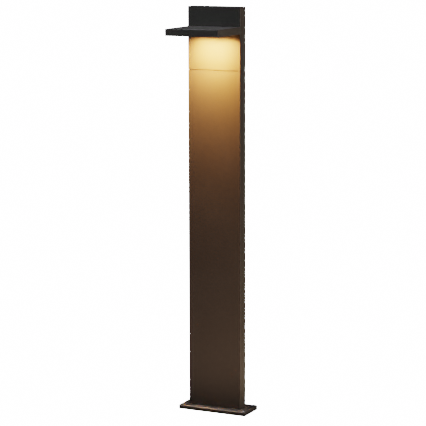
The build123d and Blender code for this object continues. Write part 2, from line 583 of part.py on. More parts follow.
# Cast slab: a tray open below, with two solid tenons that reach the post's back wall.
with BuildPart() as head_slab:
    with BuildSketch(slab_level(SLAB_LOW_Z)):
        Rectangle(POST_W, SLAB_REACH)
    extrude(amount=SLAB_T)
    fillet(head_slab.edges().filter_by(Axis.Z).sort_by(Axis.Y)[:2], EDGE_R)
    fillet(head_slab.faces().sort_by(Axis.Z)[-1].edges().sort_by(Axis.Y)[:-1], EDGE_R * 0.8)
    with BuildSketch(slab_level(SLAB_LOW_Z)):
        Rectangle(POST_W - 2 * SLAB_WALL, SLAB_REACH - 2 * SLAB_WALL)
    extrude(amount=SLAB_T - SLAB_WALL, mode=Mode.SUBTRACT)
    with BuildSketch(slab_level(SLAB_LOW_Z + BEZEL_T)):
        with GridLocations(BOSS_X, BOSS_PITCH_Y, 2, 3):
            Circle(BOSS_R)
    extrude(amount=SLAB_ROOF_Z - SLAB_LOW_Z - BEZEL_T)
    with BuildSketch(slab_level(SLAB_LOW_Z)):
        with GridLocations(BOSS_X, BOSS_PITCH_Y, 2, 3):
            Circle(M2_5_R + THREAD_PLAY)
    extrude(amount=SLAB_T - SLAB_WALL - 1, mode=Mode.SUBTRACT)
    with BuildSketch(front_wall):
        with GridLocations(2 * TENON_X, 0, 2, 1):
            Rectangle(TENON_W, TENON_H)
    extrude(amount=-(INNER_BACK_Y - POST_FRONT_Y))
    with Locations(*TENON_SPOTS):
        Hole(M5_R + THREAD_PLAY, depth=TENON_SCREW_L + 2)
    with BuildSketch(front_wall):
        with Locations((0, LED_LEAD_Z - TENON_MID_Z)):
            Circle(LEAD_PASS_R)
    extrude(amount=SLAB_WALL, mode=Mode.SUBTRACT)
    with BuildSketch(slab_level(SLAB_ROOF_Z)):
        with GridLocations(BOARD_SCREW_X, BOARD_SCREW_Y, 2, 2):
            Circle(M3_R + THREAD_PLAY)
    extrude(amount=SLAB_WALL - 1, mode=Mode.SUBTRACT)
head_slab.part.label = "head_slab"
export_step(head_slab.part, "parts/head_slab.step")

tenon_screws = sunk_screws(TENON_SPOTS, M5_R, TENON_SCREW_L)
tenon_screws.part.label = "tenon_screws"
export_step(tenon_screws.part, "parts/tenon_screws.step")

# ---------------------------------------------------------------- light unit

with BuildPart() as thermal_pad:
    with BuildSketch(slab_level(SLAB_ROOF_Z - PAD_T)):
        Rectangle(BOARD_W, BOARD_SCREW_Y + 8)
        with GridLocations(BOARD_SCREW_X, BOARD_SCREW_Y, 2, 2):
            Circle(M3_R + HOLE_PLAY, mode=Mode.SUBTRACT)
    extrude(amount=PAD_T)
thermal_pad.part.label = "thermal_pad"
export_step(thermal_pad.part, "parts/thermal_pad.step")

with BuildPart() as led_board:
    with BuildSketch(Plane(origin=(0, 0, BOARD_LOW_Z))):
        with Locations((0, (BOARD_FRONT_Y + BOARD_BACK_Y) / 2)):
            RectangleRounded(BOARD_W, BOARD_BACK_Y - BOARD_FRONT_Y, BOARD_CORNER_R)
        with Locations((0, SLAB_MID_Y)):
            with GridLocations(BOARD_SCREW_X, BOARD_SCREW_Y, 2, 2):
                Circle(M3_R + HOLE_PLAY, mode=Mode.SUBTRACT)
    extrude(amount=BOARD_T)
led_board.part.label = "led_board"
export_step(led_board.part, "parts/led_board.step")

board_screws = domed_screws(
    [
        down_spot(x, SLAB_MID_Y + y, BOARD_LOW_Z)
        for x in (-BOARD_SCREW_X / 2, BOARD_SCREW_X / 2)
        for y in (-BOARD_SCREW_Y / 2, BOARD_SCREW_Y / 2)
    ],
    M3_R, BOARD_SCREW_L,
)
board_screws.part.label = "board_screws"
export_step(board_screws.part, "parts/board_screws.step")

with BuildPart() as led_chips:
    with BuildSketch(slab_level(BOARD_LOW_Z)):
        with GridLocations(CHIP_PITCH, CHIP_PITCH, 6, 4):
            Rectangle(CHIP_W, CHIP_D)
    extrude(amount=-CHIP_H)
led_chips.part.label = "led_chips"
export_step(led_chips.part, "parts/led_chips.step")

with BuildPart() as board_connector:
    with BuildSketch(Plane.XY.offset(BOARD_LOW_Z)):
        with Locations((0, (CONNECTOR_FRONT_Y + CONNECTOR_BACK_Y) / 2)):
            Rectangle(CONNECTOR_W, CONNECTOR_BACK_Y - CONNECTOR_FRONT_Y)
    extrude(amount=-CONNECTOR_H)
    chamfer(board_connector.faces().sort_by(Axis.Z)[0].edges(), 0.5)
board_connector.part.label = "board_connector"
export_step(board_connector.part, "parts/board_connector.step")

# White frame that keeps the light in the window.
with BuildPart() as reflector:
    with BuildSketch(slab_level(DIFFUSER_Z + DIFFUSER_T)):
        Rectangle(WINDOW_W + 2 * FRAME_T, WINDOW_D + 2 * FRAME_T)
        Rectangle(WINDOW_W, WINDOW_D, mode=Mode.SUBTRACT)
    extrude(amount=BOARD_LOW_Z - DIFFUSER_Z - DIFFUSER_T)
reflector.part.label = "reflector"
export_step(reflector.part, "parts/reflector.step")

with BuildPart() as diffuser:
    with BuildSketch(slab_level(DIFFUSER_Z)):
        RectangleRounded(WINDOW_W + 2 * PANE_LAP, WINDOW_D + 2 * PANE_LAP, PANE_CORNER_R)
    extrude(amount=DIFFUSER_T)
diffuser.part.label = "diffuser"
export_step(diffuser.part, "parts/diffuser.step")

with BuildPart() as diffuser_gasket:
    with BuildSketch(slab_level(DIFFUSER_Z - GASKET_T)):
        RectangleRounded(WINDOW_W + 2 * PANE_LAP, WINDOW_D + 2 * PANE_LAP, PANE_CORNER_R)
        Rectangle(WINDOW_W + 2 * FRAME_T, WINDOW_D + 2 * FRAME_T, mode=Mode.SUBTRACT)
    extrude(amount=GASKET_T)
diffuser_gasket.part.label = "diffuser_gasket"
export_step(diffuser_gasket.part, "parts/diffuser_gasket.step")

# Plate that closes the underside of the slab around the window.
BEZEL_SCREW_SPOTS = [
    down_spot(x, SLAB_MID_Y + y, SLAB_LOW_Z)
    for x in (-BOSS_X / 2, BOSS_X / 2)
    for y in (-BOSS_PITCH_Y, 0, BOSS_PITCH_Y)
]
with BuildPart() as diffuser_bezel:
    with BuildSketch(slab_level(SLAB_LOW_Z)):
        Rectangle(POST_W - 2 * SLAB_WALL - 2 * BEZEL_PLAY, SLAB_REACH - 2 * SLAB_WALL - 2 * BEZEL_PLAY)
    extrude(amount=BEZEL_T)
    with BuildSketch(slab_level(SLAB_LOW_Z)):
        RectangleRounded(WINDOW_W, WINDOW_D, WINDOW_CORNER_R)
    extrude(amount=BEZEL_T, mode=Mode.SUBTRACT)
    with Locations(*BEZEL_SCREW_SPOTS):
        sunk_hole(M2_5_R, BEZEL_T + 1)
diffuser_bezel.part.label = "diffuser_bezel"
export_step(diffuser_bezel.part, "parts/diffuser_bezel.step")

bezel_screws = sunk_screws(BEZEL_SCREW_SPOTS, M2_5_R, BEZEL_SCREW_L)
bezel_screws.part.label = "bezel_screws"
export_step(bezel_screws.part, "parts/bezel_screws.step")

# ---------------------------------------------------------------- driver

# Sheet that hangs from the coupler, so that the driver comes out with the head.
DRIVER_SCREW_HEIGHTS = (DRIVER_LOW_Z + 12, DRIVER_HIGH_Z - 12)
with BuildPart() as driver_bracket:
    with BuildSketch(Plane(origin=(0, BRACKET_Y, 0), x_dir=(1, 0, 0), z_dir=(0, -1, 0))):
        with Locations((0, (BRACKET_LOW_Z + BRACKET_HIGH_Z) / 2)):
            RectangleRounded(BRACKET_W, BRACKET_HIGH_Z - BRACKET_LOW_Z, BRACKET_CORNER_R)
        with Locations((-BRACKET_SCREW_X / 2, SEAM_Z), (BRACKET_SCREW_X / 2, SEAM_Z)):
            Circle(M3_R + HOLE_PLAY, mode=Mode.SUBTRACT)
        with Locations(*[(0, z) for z in DRIVER_SCREW_HEIGHTS]):
            Circle(M2_5_R + HOLE_PLAY, mode=Mode.SUBTRACT)
    extrude(amount=-SHEET_T)
driver_bracket.part.label = "driver_bracket"
export_step(driver_bracket.part, "parts/driver_bracket.step")

bracket_screws = domed_screws(
    [
        Plane(origin=(x, DRIVER_FRONT_Y, SEAM_Z), x_dir=(1, 0, 0), z_dir=(0, 1, 0))
        for x in (-BRACKET_SCREW_X / 2, BRACKET_SCREW_X / 2)
    ],
    M3_R, BRACKET_SCREW_L,
)
bracket_screws.part.label = "bracket_screws"
export_step(bracket_screws.part, "parts/bracket_screws.step")

# Plastic case, open at the back, with two bosses for its fixing screws.
DRIVER_SHELL, DRIVER_CORNER_R = 1.6, 2.0
COVER_T, COVER_LIP_T, COVER_LIP_H, COVER_PLAY = 2.0, 1.0, 1.5, 0.1
DRIVER_BOSS_R, DRIVER_BOSS_H = 4.0, 4.0
DRIVER_BOARD_DEPTH, DRIVER_BOARD_T, TALLEST_COMPONENT = 6.2, 1.4, 6.5
DRIVER_INNER_W = DRIVER_W - 2 * DRIVER_SHELL
DRIVER_INNER_H = DRIVER_HIGH_Z - DRIVER_LOW_Z - 2 * DRIVER_SHELL
DRIVER_LIP_W, DRIVER_LIP_H = DRIVER_INNER_W - 2 * COVER_PLAY, DRIVER_INNER_H - 2 * COVER_PLAY
DRIVER_MID_Z = (DRIVER_LOW_Z + DRIVER_HIGH_Z) / 2
TRANSFORMER_XZ, TRANSFORMER_W, TRANSFORMER_H = (-8, 8), 18.0, 16.0
CAPACITOR_XZ, CAPACITOR_R = (14, -24), 5.0
CHOKE_XZ, CHOKE_W, CHOKE_H = (-12, -28), 12.0, 8.0
driver_front = Plane(origin=(0, DRIVER_FRONT_Y, DRIVER_MID_Z), x_dir=(1, 0, 0), z_dir=(0, -1, 0))
with BuildPart() as driver_case:
    with BuildSketch(driver_front):
        Rectangle(DRIVER_W, DRIVER_HIGH_Z - DRIVER_LOW_Z)
    extrude(amount=-(DRIVER_D - COVER_T))
    fillet(driver_case.edges().filter_by(Axis.Y), DRIVER_CORNER_R)
    with BuildSketch(driver_front.offset(-DRIVER_SHELL)):
        Rectangle(DRIVER_INNER_W, DRIVER_INNER_H)
    extrude(amount=-DRIVER_D, mode=Mode.SUBTRACT)
    with BuildSketch(driver_front.offset(-DRIVER_SHELL)):
        with Locations(*[(0, z - DRIVER_MID_Z) for z in DRIVER_SCREW_HEIGHTS]):
            Circle(DRIVER_BOSS_R)
    extrude(amount=-DRIVER_BOSS_H)
    with BuildSketch(driver_front):
        with Locations(*[(0, z - DRIVER_MID_Z) for z in DRIVER_SCREW_HEIGHTS]):
            Circle(M2_5_R + THREAD_PLAY)
    extrude(amount=-DRIVER_BOSS_H - 1, mode=Mode.SUBTRACT)
driver_case.part.label = "driver_case"
export_step(driver_case.part, "parts/driver_case.step")

with BuildPart() as driver_cover:
    with BuildSketch(driver_front.offset(-(DRIVER_D - COVER_T))):
        RectangleRounded(DRIVER_W, DRIVER_HIGH_Z - DRIVER_LOW_Z, DRIVER_CORNER_R)
    extrude(amount=-COVER_T)
    with BuildSketch(driver_front.offset(-(DRIVER_D - COVER_T))):
        Rectangle(DRIVER_LIP_W, DRIVER_LIP_H)
        Rectangle(DRIVER_LIP_W - 2 * COVER_LIP_T, DRIVER_LIP_H - 2 * COVER_LIP_T, mode=Mode.SUBTRACT)
    extrude(amount=COVER_LIP_H)
driver_cover.part.label = "driver_cover"
export_step(driver_cover.part, "parts/driver_cover.step")

# Circuit board with its transformer, capacitor and choke standing on it.
with BuildPart() as driver_board:
    with BuildSketch(driver_front.offset(-DRIVER_BOARD_DEPTH)):
        Rectangle(DRIVER_INNER_W - 1, DRIVER_INNER_H - 1)
    extrude(amount=-DRIVER_BOARD_T)
    with BuildSketch(driver_front.offset(-DRIVER_BOARD_DEPTH - DRIVER_BOARD_T)):
        with Locations(TRANSFORMER_XZ):
            Rectangle(TRANSFORMER_W, TRANSFORMER_H)
        with Locations(CAPACITOR_XZ):
            Circle(CAPACITOR_R)
        with Locations(CHOKE_XZ):
            Rectangle(CHOKE_W, CHOKE_H)
    extrude(amount=-TALLEST_COMPONENT)
driver_board.part.label = "driver_board"
export_step(driver_board.part, "parts/driver_board.step")

driver_screws = domed_screws(
    [
        Plane(origin=(0, BRACKET_Y, z), x_dir=(1, 0, 0), z_dir=(0, -1, 0))
        for z in DRIVER_SCREW_HEIGHTS
    ],
    M2_5_R, DRIVER_SCREW_L,
)
driver_screws.part.label = "driver_screws"
export_step(driver_screws.part, "parts/driver_screws.step")

for name, line, bend_r in (("mains", mains_line, MAINS_BEND_R), ("LED", led_line, LED_LEAD_BEND_R)):
    length = sum(edge.length for edge in line.edges())
    print(name, "lead", round(length, 1), "mm long, bend radius", bend_r, "mm")
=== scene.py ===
# %% [markdown]
# # A bollard light, finished in Blender
#
# This lesson takes a bollard light that has already been built in CAD and gives it its looks. The light is
# a flat, wide post on a screwed flange. A slab reaches forward near the top and washes the post's front
# face with warm light. The CAD model gives every piece its place, so the lesson starts by loading it and
# measuring.

import math

import bmesh
import bpy
from mathutils import Matrix, Vector


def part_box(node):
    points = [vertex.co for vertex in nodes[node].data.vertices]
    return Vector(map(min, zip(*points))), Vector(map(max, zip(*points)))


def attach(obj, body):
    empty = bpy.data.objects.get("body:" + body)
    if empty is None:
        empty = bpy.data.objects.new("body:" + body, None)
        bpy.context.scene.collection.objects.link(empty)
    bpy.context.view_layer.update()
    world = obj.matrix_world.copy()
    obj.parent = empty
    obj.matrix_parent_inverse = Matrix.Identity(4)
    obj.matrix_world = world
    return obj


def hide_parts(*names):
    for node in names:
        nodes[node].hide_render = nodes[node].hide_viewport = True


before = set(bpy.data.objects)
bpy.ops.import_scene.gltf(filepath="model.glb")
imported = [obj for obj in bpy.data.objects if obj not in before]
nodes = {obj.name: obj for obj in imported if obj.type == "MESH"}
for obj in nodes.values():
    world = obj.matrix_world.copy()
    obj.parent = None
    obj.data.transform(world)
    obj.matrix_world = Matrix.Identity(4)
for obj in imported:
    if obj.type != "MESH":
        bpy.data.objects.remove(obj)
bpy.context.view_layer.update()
MM = 0.001

# %% [markdown]
# ## Places to work from
#
# Every place below is read from the boxes of the CAD nodes, so nothing has to be fitted by eye. The lit
# face of the post looks along -Y, X runs across it, and Z is up.

# %% Read the main places
column_low, column_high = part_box("column_profile")
slab_low, slab_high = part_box("head_slab")
foot_low, foot_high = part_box("base_flange")
pane_low, pane_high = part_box("diffuser")
face_y, back_y = column_low.y, column_high.y
print("slab reaches", round((face_y - slab_low.y) / MM, 1), "mm in front of the face")

# %% [markdown]
# ## The camera
#
# A product shot like this one is taken from well back with a long lens, so that the upright edges stay
# nearly parallel. The camera stands to the right of the lit face, a little above the top of the post, and
# tilts down. Two angles and a distance say this more clearly than a raw position would. The small turn and
# roll are the last touches that centre the object and set it upright in the frame.

# %% Set the camera
CAMERA_ROUND = 25.79
CAMERA_TURN = 0.015
CAMERA_TILT = 9.224
CAMERA_DISTANCE = 4.5573
CAMERA_HEIGHT = 1.2377
CAMERA_ROLL = 0.13
CAMERA_LENS = 159.75
CAMERA_REACH = 100

camera = bpy.data.objects.new("camera", bpy.data.cameras.new("camera"))
bpy.context.scene.collection.objects.link(camera)
bpy.context.scene.camera = camera
turn = math.radians(CAMERA_ROUND)
camera.location = (CAMERA_DISTANCE * math.sin(turn), face_y - CAMERA_DISTANCE * math.cos(turn), CAMERA_HEIGHT)
camera.rotation_euler = [
    math.radians(a) for a in (90 - CAMERA_TILT, CAMERA_ROLL, CAMERA_ROUND + CAMERA_TURN)
]
camera.data.lens = CAMERA_LENS
camera.data.clip_end = CAMERA_REACH
print("camera at", [round(v, 3) for v in camera.location])

# %% [markdown]
# ## Colours and nodes
#
# Colours are easiest to pick as the sRGB hex values that a screen shows, but a shader needs linear light,
# so one function turns the first into the second. Materials are made of nodes, and one more function adds
# a node with its settings and plugs its inputs in. Everything else in this lesson uses these two.

# %% Two helpers for materials
def colour(code):
    """An sRGB hex colour as linear red, green and blue, with an alpha of 1."""
    channels = [int(code[i:i + 2], 16) / 255 for i in (1, 3, 5)]
    return [c / 12.92 if c <= 0.04045 else ((c + 0.055) / 1.055) ** 2.4 for c in channels] + [1.0]


def add(tree, kind, links=(), **settings):
    """Adds a node. Settings that name a socket set its value, others set the node; links fill its inputs."""
    node = tree.nodes.new(kind)
    for name, value in settings.items():
        socket_name = name.replace("_", " ")
        if hasattr(node, name):
            setattr(node, name, value)
        else:
            fits = [s for s in node.inputs if s.enabled and s.name.lower() == socket_name.lower()]
            fits[0].default_value = value
    for socket, source in dict(links).items():
        tree.links.new(source, node.inputs[socket])
    return node


print("a mid grey in linear light:", [round(v, 4) for v in colour("#808080")[:3]])

# %% [markdown]
# A material starts as one Principled shader. The function below makes it, keeps the values that are the
# same all over the surface on the shader's own sockets, and hands back the tree, so that a cell can add
# its pattern.

# %% Start a material
def new_material(name, **shader_settings):
    """An empty material with its shader, handed back with its tree and the place it is read at."""
    material = bpy.data.materials.new(name)
    material.use_nodes = True
    tree = material.node_tree
    tree.nodes.clear()
    shader = add(tree, "ShaderNodeBsdfPrincipled", **shader_settings)
    add(tree, "ShaderNodeOutputMaterial", {"Surface": shader.outputs["BSDF"]})
    place = add(tree, "ShaderNodeTexCoord").outputs["Object"]
    return material, tree, shader, place


def dress(material, *names):
    """Gives a material to the CAD nodes with these names."""
    for name in names:
        nodes[name].data.materials.clear()
        nodes[name].data.materials.append(material)


# %% [markdown]
# ## Fine-textured powder coat
#
# The post, the slab and the foot are aluminium with a baked powder coat in a very dark bronze grey. The
# powder melts into a fine orange peel with a slight grain, so the surface is matt, and a highlight on it
# is broad and a little uneven. Real grain is about 0.3 mm across, too fine to show here, so it is drawn at
# about 1.2 mm, with larger soft clouds of slightly different tone from the spraying.

# %% Powder coat
GRAIN_MM = 1.2
PEEL_MM = 5.0
CLOUD_MM = 140.0
FINE_RELIEF, BROAD_RELIEF = 0.06 * MM, 0.15 * MM
TINT_FLOOR = 0.1


def powder_coat(name, dark, light, rough):
    """A dark tint that wanders in clouds and specks, with a fine and a broad relief."""
    material, tree, shader, place = new_material(name, IOR=1.5, Specular_IOR_Level=0.4)
    cloud = add(tree, "ShaderNodeTexNoise", {"Vector": place}, Scale=1000 / CLOUD_MM, Detail=3.0)
    grain = add(
        tree, "ShaderNodeTexNoise", {"Vector": place}, Scale=1000 / GRAIN_MM, Detail=2.0, Roughness=0.6,
    )
    peel = add(tree, "ShaderNodeTexNoise", {"Vector": place}, Scale=1000 / PEEL_MM, Detail=1.0)
    speck = add(tree, "ShaderNodeMapRange", {"Value": grain.outputs["Fac"]}, From_Min=0.35, From_Max=0.7)
    mixed = add(
        tree, "ShaderNodeMath", {0: cloud.outputs["Fac"], 1: speck.outputs["Result"]},
        operation="MULTIPLY_ADD",
    )
    mixed.inputs[2].default_value = TINT_FLOOR
    tint = add(tree, "ShaderNodeValToRGB", {"Fac": mixed.outputs["Value"]})
    tint.color_ramp.elements[0].color = colour(dark)
    tint.color_ramp.elements[1].color = colour(light)
    gloss = add(
        tree, "ShaderNodeMapRange", {"Value": cloud.outputs["Fac"]},
        From_Min=0.3, From_Max=0.7, To_Min=rough - 0.05, To_Max=rough + 0.05,
    )
    fine = add(tree, "ShaderNodeBump", {"Height": grain.outputs["Fac"]}, Strength=0.3, Distance=FINE_RELIEF)
    broad = add(
        tree, "ShaderNodeBump", {"Height": peel.outputs["Fac"], "Normal": fine.outputs["Normal"]},
        Strength=0.25, Distance=BROAD_RELIEF,
    )
    tree.links.new(tint.outputs["Color"], shader.inputs["Base Color"])
    tree.links.new(gloss.outputs["Result"], shader.inputs["Roughness"])
    tree.links.new(broad.outputs["Normal"], shader.inputs["Normal"])
    return material


coat = powder_coat("powder_coat_dark_bronze", "#2A2725", "#37322E", 0.5)
dress(coat, "column_profile", "head_housing", "head_slab", "base_flange", "diffuser_bezel")
print("powder coat grain drawn at", GRAIN_MM, "mm")

# %% [markdown]
# ## One function for the quieter finishes
#
# Most other finishes are a base tone that wanders a little, a roughness that wanders with it, and a small
# bump. Moulded plastic, rubber, bare metal and cable sheath differ only in those values, so one function
# serves them all. The stretch turns round blotches into the long lines that drawing or extruding leaves
# behind.

# %% A finish with grain
def grained(name, dark, light, size_mm, rough, bump_mm=0.02, stretch=(1, 1, 1), **shader_settings):
    """A finish whose tint, roughness and relief all follow one noise of this grain size."""
    material, tree, shader, place = new_material(name, **shader_settings)
    along = add(tree, "ShaderNodeMapping", {"Vector": place}, Scale=stretch)
    noise = add(
        tree, "ShaderNodeTexNoise", {"Vector": along.outputs["Vector"]},
        Scale=1000 / size_mm, Detail=4.0, Roughness=0.55,
    )
    tint = add(tree, "ShaderNodeValToRGB", {"Fac": noise.outputs["Fac"]})
    tint.color_ramp.elements[0].position, tint.color_ramp.elements[1].position = 0.3, 0.7
    tint.color_ramp.elements[0].color = colour(dark)
    tint.color_ramp.elements[1].color = colour(light)
    gloss = add(
        tree, "ShaderNodeMapRange", {"Value": noise.outputs["Fac"]},
        From_Min=0.25, From_Max=0.75, To_Min=max(rough - 0.07, 0.04), To_Max=min(rough + 0.07, 1.0),
    )
    relief = add(
        tree, "ShaderNodeBump", {"Height": noise.outputs["Fac"]}, Strength=0.5, Distance=bump_mm * MM,
    )
    tree.links.new(tint.outputs["Color"], shader.inputs["Base Color"])
    tree.links.new(gloss.outputs["Result"], shader.inputs["Roughness"])
    tree.links.new(relief.outputs["Normal"], shader.inputs["Normal"])
    return material


# %% [markdown]
# ## Metals
#
# The corner screws are turned stainless steel, polished enough to catch a bright spot. The ground plate
# and the inner sheets are zinc-plated steel, which is bluer and patchier. The sleeve inside the post is
# bare extruded aluminium, whose die leaves fine lines along its length.

# %% Metals
steel = grained("turned_stainless_steel", "#B9B7B2", "#D6D4CF", 1.0, 0.24, 0.01, Metallic=1.0)
zinc = grained("zinc_plated_steel", "#9EA3AA", "#C3C7CC", 6.0, 0.38, 0.02, Metallic=1.0)
extruded = grained("extruded_aluminium", "#AEB0B2", "#C9CBCC", 2.0, 0.36, 0.03, (1, 1, 0.02), Metallic=1.0)
brass = grained("stamped_brass", "#B08D45", "#D0AC60", 2.0, 0.3, 0.01, Metallic=1.0)
dress(zinc, "ground_plate", "terminal_carrier", "driver_bracket", "column_screws")
dress(zinc, "carrier_screws", "bracket_screws", "driver_screws", "board_screws")
dress(extruded, "coupler")
dress(brass, "terminal_contacts")

# %% [markdown]
# ## Rubbers and plastics
#
# EPDM rubber is a deep dull black with a faint bloom. Silicone is paler and softer looking. Moulded parts
# have the spark-eroded texture of their mould, which is a fine grain of about a third of a millimetre. It
# is drawn at 0.8 mm, so that it still shows.

# %% Rubbers and plastics
MOULD_MM = 0.8
rubber = grained("epdm_rubber", "#0D0D0D", "#1B1A19", 2.5, 0.8, 0.03, IOR=1.52)
silicone = grained("grey_silicone", "#7F8284", "#96999B", 3.0, 0.6, 0.02, IOR=1.41)
nylon = grained("black_polyamide", "#0F0F10", "#1C1C1D", MOULD_MM, 0.5, 0.03, IOR=1.53)
white_plastic = grained("white_polycarbonate", "#D9D9D6", "#E8E8E5", MOULD_MM, 0.45, 0.02, IOR=1.58)
grey_plastic = grained("light_grey_polycarbonate", "#9FA3A6", "#B2B6B8", MOULD_MM, 0.35, 0.02, IOR=1.58)
orange_plastic = grained("orange_polyamide", "#D85A0C", "#EC7420", MOULD_MM, 0.4, 0.02, IOR=1.53)
sheath = grained("black_pvc_sheath", "#111111", "#1E1E1E", 1.5, 0.55, 0.02, IOR=1.54)
dress(rubber, "foot_gasket", "seam_gasket", "gland_seal")
dress(silicone, "diffuser_gasket", "thermal_pad")
dress(nylon, "cable_gland", "gland_locknut", "gland_dome_nut", "lead_clips")
dress(white_plastic, "reflector", "board_connector", "driver_case", "driver_cover")
dress(grey_plastic, "terminal_housing")
dress(orange_plastic, "terminal_lever_live", "terminal_lever_neutral", "terminal_lever_earth")
dress(sheath, "mains_lead", "led_lead")

# %% [markdown]
# ## Boards and diodes
#
# The light source is a white-lacquered aluminium board with yellow phosphor squares on it. The driver's
# board is glass-fibre laminate under green lacquer, and the copper tracks under the lacquer show as paler
# lines. A brick texture with wide bricks gives lines of that kind.

# %% Boards and diodes
mask_white = grained("white_solder_mask", "#DCDCD6", "#EAEAE4", 8.0, 0.25, 0.005, IOR=1.5)
phosphor = grained("diode_phosphor", "#E0B23C", "#F0CB62", 0.6, 0.35, 0.01, IOR=1.5)
dress(mask_white, "led_board")
dress(phosphor, "led_chips")

laminate, tree, shader, place = new_material("green_circuit_laminate", IOR=1.5, Roughness=0.3)
turned = add(tree, "ShaderNodeMapping", {"Vector": place}, Rotation=(math.radians(90), 0, 0))
tracks = add(
    tree, "ShaderNodeTexBrick", {"Vector": turned.outputs["Vector"]},
    Color1=colour("#14532B"), Color2=colour("#17602F"), Mortar=colour("#2E8B50"),
    Scale=80.0, Mortar_Size=0.06, Brick_Width=0.9, Row_Height=0.3,
)
tree.links.new(tracks.outputs["Color"], shader.inputs["Base Color"])
lacquer = add(tree, "ShaderNodeBump", {"Height": tracks.outputs["Fac"]}, Strength=0.4, Distance=0.0001)
tree.links.new(lacquer.outputs["Normal"], shader.inputs["Normal"])
dress(laminate, "driver_board")

# %% [markdown]
# ## The three cores
#
# The cores of the inner lead are brown, blue and green with yellow, as in any European lead. They lie side
# by side across X, so the position across the post picks the colour. A stripe along the height gives the
# third core its yellow. The boundaries lie just outside the middle core. For the first few millimetres
# below the sheath the cores overlap across X, so a little blue shows there on the inner side of the other
# two.

# %% Core insulation
CORE_EDGE_MM = 1.3
cores, tree, shader, place = new_material("pvc_core_insulation", IOR=1.54, Roughness=0.45)
parts = add(tree, "ShaderNodeSeparateXYZ", {"Vector": place})
stripe = add(tree, "ShaderNodeTexWave", {"Vector": place}, Scale=110.0, Distortion=1.0)
earth = add(tree, "ShaderNodeValToRGB", {"Fac": stripe.outputs["Fac"]})
earth.color_ramp.interpolation = "CONSTANT"
earth.color_ramp.elements[0].color = colour("#1E7A34")
earth.color_ramp.elements[1].position = 0.5
earth.color_ramp.elements[1].color = colour("#E3C81E")
across = add(
    tree, "ShaderNodeMapRange", {"Value": parts.outputs["X"]},
    From_Min=-3 * CORE_EDGE_MM * MM, From_Max=3 * CORE_EDGE_MM * MM,
)
pair = add(tree, "ShaderNodeValToRGB", {"Fac": across.outputs["Result"]})
pair.color_ramp.interpolation = "CONSTANT"
pair.color_ramp.elements[0].color = colour("#5A3418")
pair.color_ramp.elements[1].position = 1 / 3
pair.color_ramp.elements[1].color = colour("#1F4E9E")
is_earth = add(tree, "ShaderNodeMath", {0: parts.outputs["X"]}, operation="GREATER_THAN")
is_earth.inputs[1].default_value = CORE_EDGE_MM * MM
chosen = add(
    tree, "ShaderNodeMixRGB",
    {"Fac": is_earth.outputs["Value"], "Color1": pair.outputs["Color"], "Color2": earth.outputs["Color"]},
)
tree.links.new(chosen.outputs["Color"], shader.inputs["Base Color"])
dress(cores, "lead_cores")

# %% [markdown]
# ## The lit pane
#
# The pane is satin opal polycarbonate with the diodes close behind it. Most of their light comes through
# evenly, and each diode leaves a soft brighter spot. The material therefore gives off light itself, and
# the spots are a pattern with the diodes' own pitch. One wave texture makes stripes, so two waves across
# each other are multiplied to make spots. The phase of a wave is 20 times its scale times the distance, so
# one full turn for each pitch needs a scale of pi over ten pitches.

# %% Opal pane
DIODE_PITCH_MM = 15.0
PANE_GLOW = 5.0
opal, tree, shader, place = new_material(
    "opal_polycarbonate", IOR=1.58, Roughness=0.35, Base_Color=colour("#F4EDE0"), Emission_Strength=PANE_GLOW,
)
pane_middle = (pane_low + pane_high) / 2
centred = add(tree, "ShaderNodeMapping", {"Vector": place}, Location=(-pane_middle.x, -pane_middle.y, 0))
spots = []
for axis in ("X", "Y"):
    wave = add(
        tree, "ShaderNodeTexWave", {"Vector": centred.outputs["Vector"]}, bands_direction=axis,
        Scale=math.pi / (10 * DIODE_PITCH_MM * MM),
    )
    spots.append(wave.outputs["Fac"])
spot = add(tree, "ShaderNodeMath", {0: spots[0], 1: spots[1]}, operation="MULTIPLY")
glow = add(tree, "ShaderNodeValToRGB", {"Fac": spot.outputs["Value"]})
glow.color_ramp.elements[0].color = colour("#E9B877")
glow.color_ramp.elements[1].color = colour("#FFDDA0")
tree.links.new(glow.outputs["Color"], shader.inputs["Emission Color"])
satin = add(tree, "ShaderNodeTexNoise", {"Vector": place}, Scale=1000 / MOULD_MM, Detail=2.0)
satin_bump = add(tree, "ShaderNodeBump", {"Height": satin.outputs["Fac"]}, Strength=0.3, Distance=0.00002)
tree.links.new(satin_bump.outputs["Normal"], shader.inputs["Normal"])
dress(opal, "diffuser")
print("diodes repeat every", DIODE_PITCH_MM, "mm")

# %% [markdown]
# ## Screws
#
# A socket screw is a turned head with a six-sided hole broached into it. Both kinds here start as a stack
# of rings: a small ring is made, then extruded and widened or moved along the axis for each step of the
# profile, and the last ring is closed. Rings of 48 sides keep the edge round, and a six-sided hole is cut
# in by bridging from the round ring to a hexagon. The head is built round the Z axis, turned to the way it
# points, and moved.

# %% Build a screw head
RING_SIDES = 48


def ring_step(bm, edges, widen, rise):
    """Extrudes a ring of edges, scales it about the axis and lifts it. Gives back the new ring."""
    grown = bmesh.ops.extrude_edge_only(bm, edges=edges)["geom"]
    verts = [g for g in grown if isinstance(g, bmesh.types.BMVert)]
    bmesh.ops.scale(bm, vec=(widen, widen, 1), verts=verts)
    bmesh.ops.translate(bm, vec=(0, 0, rise), verts=verts)
    return [g for g in grown if isinstance(g, bmesh.types.BMEdge)]


